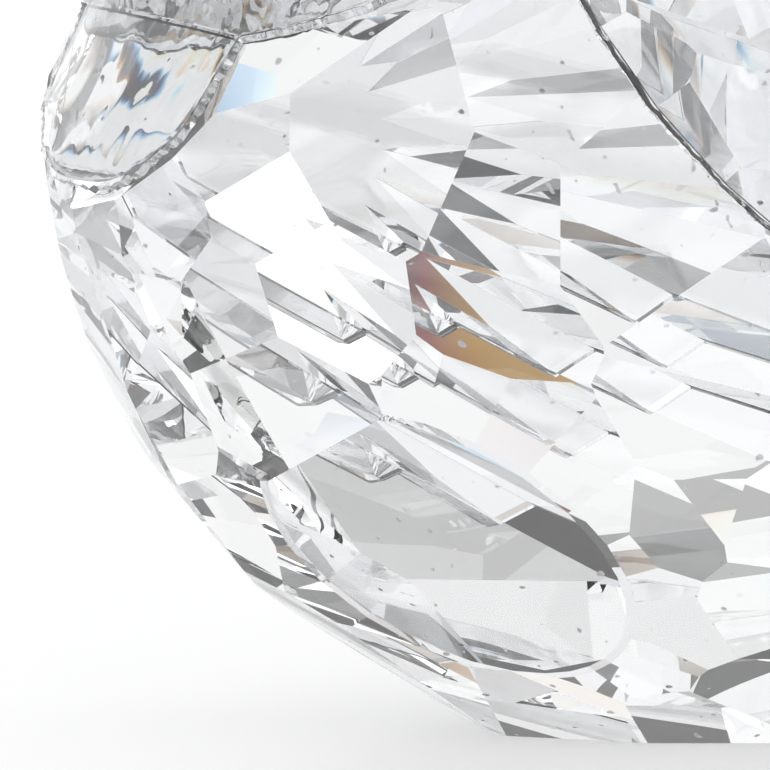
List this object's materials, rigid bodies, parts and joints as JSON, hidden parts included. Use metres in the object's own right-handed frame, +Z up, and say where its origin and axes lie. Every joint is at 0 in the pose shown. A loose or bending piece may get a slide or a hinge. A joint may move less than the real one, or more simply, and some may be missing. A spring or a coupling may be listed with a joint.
{
  "type": "crystal swan figurine",
  "caption": "Cut clear-glass swan with a faceted round body, a curved neck and head, and two raised wings of pointed feathers, standing on a small flat foot.",
  "frame": {"origin": "middle of the bounding box's floor, in the plane of the flat foot", "axes": "-X is the way the swan looks, -Y is its left side, +Z up"},
  "size_m": [0.0802, 0.0434, 0.077],
  "materials": {
    "crystal": "polished clear lead crystal"
  },
  "bodies": {
    "root": {"body": "crystal", "neck_and_head": "crystal", "left_wing": "crystal", "right_wing": "crystal"}
  },
  "joints": []
}
